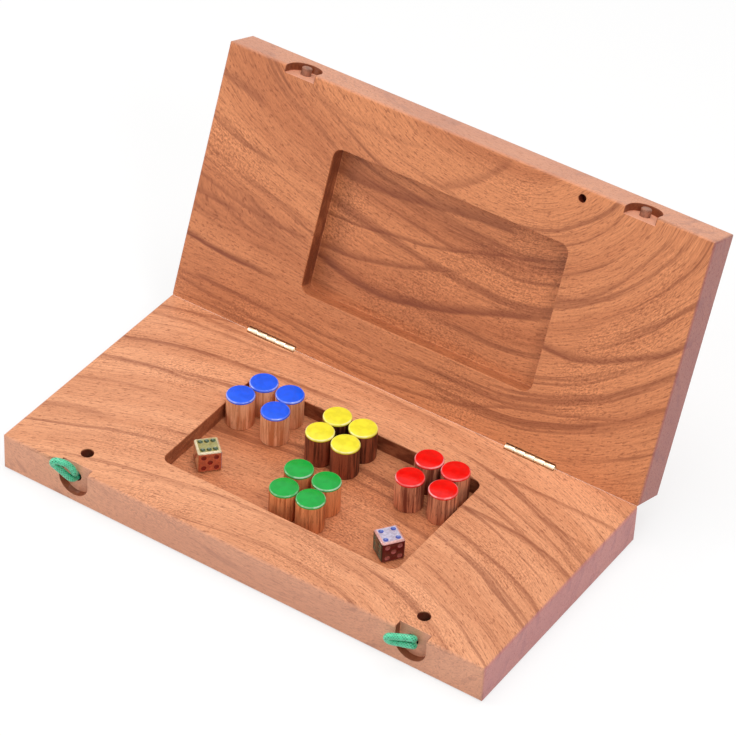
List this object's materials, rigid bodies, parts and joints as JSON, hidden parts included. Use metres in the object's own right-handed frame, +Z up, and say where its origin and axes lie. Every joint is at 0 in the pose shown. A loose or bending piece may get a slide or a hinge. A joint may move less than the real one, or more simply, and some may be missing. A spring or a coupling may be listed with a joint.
{
  "type": "folding ludo board box",
  "caption": "Folding wooden ludo board on brass hinges that closes into a box for its pawns and dice, held shut by elastic loops over pegs.",
  "frame": {"origin": "centre of the base half's underside, which the box stands on", "axes": "+X along the hinges, to the right seen from the front; -Y to the front edge with the elastic loops; +Z up"},
  "size_m": [0.25, 0.1914, 0.1362],
  "materials": {
    "hardwood": "oiled, with streaked grain",
    "brass": "polished",
    "brass_screws": "polished",
    "peg_wood": "oiled",
    "elastic": "braided",
    "blue_topped_wood": "glossy blue top on bare sides",
    "yellow_topped_wood": "glossy yellow top on bare sides",
    "green_topped_wood": "glossy green top on bare sides",
    "red_topped_wood": "glossy red top on bare sides",
    "painted_die_wood": "painted, one colour a face"
  },
  "bodies": {
    "base": {"base_half": "hardwood", "left_hinge_base_leaf": "brass", "right_hinge_base_leaf": "brass", "left_hinge_pin": "brass", "right_hinge_pin": "brass", "base_hinge_screws": "brass_screws", "left_elastic_loop": "elastic", "right_elastic_loop": "elastic", "left_elastic_knot": "elastic", "right_elastic_knot": "elastic"},
    "lid": {"lid_half": "hardwood", "left_hinge_lid_leaf": "brass", "right_hinge_lid_leaf": "brass", "lid_hinge_screws": "brass_screws", "left_peg": "peg_wood", "right_peg": "peg_wood"},
    "pawn_blue_1_body": {"pawn_blue_1": "blue_topped_wood"},
    "pawn_blue_2_body": {"pawn_blue_2": "blue_topped_wood"},
    "pawn_blue_3_body": {"pawn_blue_3": "blue_topped_wood"},
    "pawn_blue_4_body": {"pawn_blue_4": "blue_topped_wood"},
    "pawn_yellow_1_body": {"pawn_yellow_1": "yellow_topped_wood"},
    "pawn_yellow_2_body": {"pawn_yellow_2": "yellow_topped_wood"},
    "pawn_yellow_3_body": {"pawn_yellow_3": "yellow_topped_wood"},
    "pawn_yellow_4_body": {"pawn_yellow_4": "yellow_topped_wood"},
    "pawn_green_1_body": {"pawn_green_1": "green_topped_wood"},
    "pawn_green_2_body": {"pawn_green_2": "green_topped_wood"},
    "pawn_green_3_body": {"pawn_green_3": "green_topped_wood"},
    "pawn_green_4_body": {"pawn_green_4": "green_topped_wood"},
    "pawn_red_1_body": {"pawn_red_1": "red_topped_wood"},
    "pawn_red_2_body": {"pawn_red_2": "red_topped_wood"},
    "pawn_red_3_body": {"pawn_red_3": "red_topped_wood"},
    "pawn_red_4_body": {"pawn_red_4": "red_topped_wood"},
    "left_die_body": {"left_die": "painted_die_wood"},
    "right_die_body": {"right_die": "painted_die_wood"}
  },
  "joints": [
    {"name": "lid_hinge", "type": "hinge", "parent": "base", "child": "lid", "pos_m": [0, 0.0626, 0.0191], "axis": [-1, 0, 0], "range_deg": [-110, 70]},
    {"name": "pawn_blue_1_lift", "type": "slide", "parent": "base", "child": "pawn_blue_1_body", "axis": [0, 0, 1], "range_m": [0, 0.04]},
    {"name": "pawn_blue_2_lift", "type": "slide", "parent": "base", "child": "pawn_blue_2_body", "axis": [0, 0, 1], "range_m": [0, 0.04]},
    {"name": "pawn_blue_3_lift", "type": "slide", "parent": "base", "child": "pawn_blue_3_body", "axis": [0, 0, 1], "range_m": [0, 0.04]},
    {"name": "pawn_blue_4_lift", "type": "slide", "parent": "base", "child": "pawn_blue_4_body", "axis": [0, 0, 1], "range_m": [0, 0.04]},
    {"name": "pawn_yellow_1_lift", "type": "slide", "parent": "base", "child": "pawn_yellow_1_body", "axis": [0, 0, 1], "range_m": [0, 0.04]},
    {"name": "pawn_yellow_2_lift", "type": "slide", "parent": "base", "child": "pawn_yellow_2_body", "axis": [0, 0, 1], "range_m": [0, 0.04]},
    {"name": "pawn_yellow_3_lift", "type": "slide", "parent": "base", "child": "pawn_yellow_3_body", "axis": [0, 0, 1], "range_m": [0, 0.04]},
    {"name": "pawn_yellow_4_lift", "type": "slide", "parent": "base", "child": "pawn_yellow_4_body", "axis": [0, 0, 1], "range_m": [0, 0.04]},
    {"name": "pawn_green_1_lift", "type": "slide", "parent": "base", "child": "pawn_green_1_body", "axis": [0, 0, 1], "range_m": [0, 0.04]},
    {"name": "pawn_green_2_lift", "type": "slide", "parent": "base", "child": "pawn_green_2_body", "axis": [0, 0, 1], "range_m": [0, 0.04]},
    {"name": "pawn_green_3_lift", "type": "slide", "parent": "base", "child": "pawn_green_3_body", "axis": [0, 0, 1], "range_m": [0, 0.04]},
    {"name": "pawn_green_4_lift", "type": "slide", "parent": "base", "child": "pawn_green_4_body", "axis": [0, 0, 1], "range_m": [0, 0.04]},
    {"name": "pawn_red_1_lift", "type": "slide", "parent": "base", "child": "pawn_red_1_body", "axis": [0, 0, 1], "range_m": [0, 0.04]},
    {"name": "pawn_red_2_lift", "type": "slide", "parent": "base", "child": "pawn_red_2_body", "axis": [0, 0, 1], "range_m": [0, 0.04]},
    {"name": "pawn_red_3_lift", "type": "slide", "parent": "base", "child": "pawn_red_3_body", "axis": [0, 0, 1], "range_m": [0, 0.04]},
    {"name": "pawn_red_4_lift", "type": "slide", "parent": "base", "child": "pawn_red_4_body", "axis": [0, 0, 1], "range_m": [0, 0.04]},
    {"name": "left_die_lift", "type": "slide", "parent": "base", "child": "left_die_body", "axis": [0, 0, 1], "range_m": [0, 0.04]},
    {"name": "right_die_lift", "type": "slide", "parent": "base", "child": "right_die_body", "axis": [0, 0, 1], "range_m": [0, 0.04]}
  ]
}
